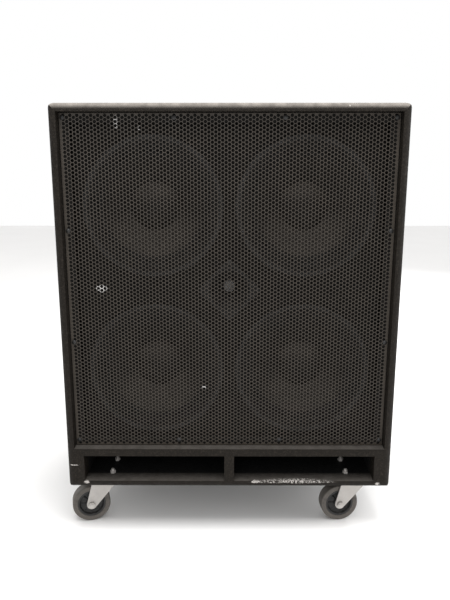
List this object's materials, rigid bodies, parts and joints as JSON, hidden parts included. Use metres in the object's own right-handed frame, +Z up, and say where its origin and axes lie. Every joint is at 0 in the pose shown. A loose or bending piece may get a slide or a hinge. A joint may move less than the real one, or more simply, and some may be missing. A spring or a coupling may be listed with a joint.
{
  "type": "bass loudspeaker cabinet",
  "caption": "Closed-back bass speaker cabinet on swivel casters, with a full steel grille, cone drivers, a centre horn and a slot port along the bottom.",
  "frame": {"origin": "on the floor under the middle of the cabinet", "axes": "+Z up, front faces -Y, +X to the right as seen from the front"},
  "size_m": [0.646, 0.45, 0.821],
  "materials": {
    "coated_wood": "rough textured roller coating",
    "black_wood": "matt black paint",
    "bare_wood": "bare plywood",
    "wadding": "fluffy",
    "grille_steel": "black powder coat, semi-matt",
    "black_screws": "blackened",
    "black_frame": "satin black",
    "magnet": "ferrite and zinc-plated steel",
    "spider_cloth": "resin-dipped cloth",
    "gasket": "matt",
    "cone_paper": "pressed, matt",
    "surround_cloth": "doped cloth, soft sheen",
    "black_plastic": "fine texture",
    "zinc": "zinc plated",
    "circuit_board": "lacquered board with parts",
    "wire": "smooth insulation",
    "wheel_plastic": "moulded",
    "tyre_rubber": "grey, dusty"
  },
  "bodies": {
    "cabinet": {"top_panel": "coated_wood", "bottom_panel": "coated_wood", "left_panel": "coated_wood", "right_panel": "coated_wood", "port_shelf": "coated_wood", "port_divider": "coated_wood", "port_side_blocks": "coated_wood", "back_panel": "coated_wood", "baffle": "black_wood", "grille_battens": "black_wood", "braces": "bare_wood", "damping_lining": "wadding", "grille": "grille_steel", "grille_screws": "black_screws", "driver_screws": "black_screws", "wood_screws": "black_screws", "driver_baskets": "black_frame", "driver_magnets": "magnet", "tweeter_driver": "magnet", "driver_spiders": "spider_cloth", "driver_gaskets": "gasket", "tweeter_horn": "black_plastic", "jack_dish": "black_plastic", "left_handle": "black_plastic", "right_handle": "black_plastic", "jack_sockets": "zinc", "level_control": "zinc", "caster_plates": "zinc", "caster_bolts": "zinc", "crossover": "circuit_board", "wiring_harness": "wire"},
    "front_left_caster": {"front_left_fork": "zinc", "front_left_axle": "zinc"},
    "front_left_roller": {"front_left_wheel": "wheel_plastic", "front_left_tyre": "tyre_rubber"},
    "front_right_caster": {"front_right_fork": "zinc", "front_right_axle": "zinc"},
    "front_right_roller": {"front_right_wheel": "wheel_plastic", "front_right_tyre": "tyre_rubber"},
    "rear_left_caster": {"rear_left_fork": "zinc", "rear_left_axle": "zinc"},
    "rear_left_roller": {"rear_left_wheel": "wheel_plastic", "rear_left_tyre": "tyre_rubber"},
    "rear_right_caster": {"rear_right_fork": "zinc", "rear_right_axle": "zinc"},
    "rear_right_roller": {"rear_right_wheel": "wheel_plastic", "rear_right_tyre": "tyre_rubber"},
    "upper_left_membrane": {"upper_left_cone": "cone_paper", "upper_left_dust_cap": "cone_paper", "upper_left_surround": "surround_cloth"},
    "upper_right_membrane": {"upper_right_cone": "cone_paper", "upper_right_dust_cap": "cone_paper", "upper_right_surround": "surround_cloth"},
    "lower_left_membrane": {"lower_left_cone": "cone_paper", "lower_left_dust_cap": "cone_paper", "lower_left_surround": "surround_cloth"},
    "lower_right_membrane": {"lower_right_cone": "cone_paper", "lower_right_dust_cap": "cone_paper", "lower_right_surround": "surround_cloth"},
    "control": {"level_knob": "black_plastic"}
  },
  "joints": [
    {"name": "front_left_swivel", "type": "hinge", "parent": "cabinet", "child": "front_left_caster", "pos_m": [-0.255, -0.165, 0.085], "axis": [0, 0, 1], "continuous": true},
    {"name": "front_left_roll", "type": "hinge", "parent": "front_left_caster", "child": "front_left_roller", "pos_m": [-0.28398, -0.17276, 0.038], "axis": [0.2588, -0.9659, 0], "continuous": true},
    {"name": "front_right_swivel", "type": "hinge", "parent": "cabinet", "child": "front_right_caster", "pos_m": [0.255, -0.165, 0.085], "axis": [0, 0, 1], "continuous": true},
    {"name": "front_right_roll", "type": "hinge", "parent": "front_right_caster", "child": "front_right_roller", "pos_m": [0.22522, -0.16866, 0.038], "axis": [0.1219, -0.9925, 0], "continuous": true},
    {"name": "rear_left_swivel", "type": "hinge", "parent": "cabinet", "child": "rear_left_caster", "pos_m": [-0.255, 0.165, 0.085], "axis": [0, 0, 1], "continuous": true},
    {"name": "rear_left_roll", "type": "hinge", "parent": "rear_left_caster", "child": "rear_left_roller", "pos_m": [-0.28319, 0.17526, 0.038], "axis": [-0.342, -0.9397, 0], "continuous": true},
    {"name": "rear_right_swivel", "type": "hinge", "parent": "cabinet", "child": "rear_right_caster", "pos_m": [0.255, 0.165, 0.085], "axis": [0, 0, 1], "continuous": true},
    {"name": "rear_right_roll", "type": "hinge", "parent": "rear_right_caster", "child": "rear_right_roller", "pos_m": [0.28398, 0.17276, 0.038], "axis": [-0.2588, 0.9659, 0], "continuous": true},
    {"name": "upper_left_travel", "type": "slide", "parent": "cabinet", "child": "upper_left_membrane", "axis": [0, -1, 0], "range_m": [-0.005, 0.005], "stiffness_N_per_m": 4000, "deforming": ["upper_left_surround"]},
    {"name": "upper_right_travel", "type": "slide", "parent": "cabinet", "child": "upper_right_membrane", "axis": [0, -1, 0], "range_m": [-0.005, 0.005], "stiffness_N_per_m": 4000, "deforming": ["upper_right_surround"]},
    {"name": "lower_left_travel", "type": "slide", "parent": "cabinet", "child": "lower_left_membrane", "axis": [0, -1, 0], "range_m": [-0.005, 0.005], "stiffness_N_per_m": 4000, "deforming": ["lower_left_surround"]},
    {"name": "lower_right_travel", "type": "slide", "parent": "cabinet", "child": "lower_right_membrane", "axis": [0, -1, 0], "range_m": [-0.005, 0.005], "stiffness_N_per_m": 4000, "deforming": ["lower_right_surround"]},
    {"name": "level_turn", "type": "hinge", "parent": "cabinet", "child": "control", "pos_m": [0.042, 0.2, 0.617], "axis": [0, 1, 0], "range_deg": [-150, 150]}
  ]
}
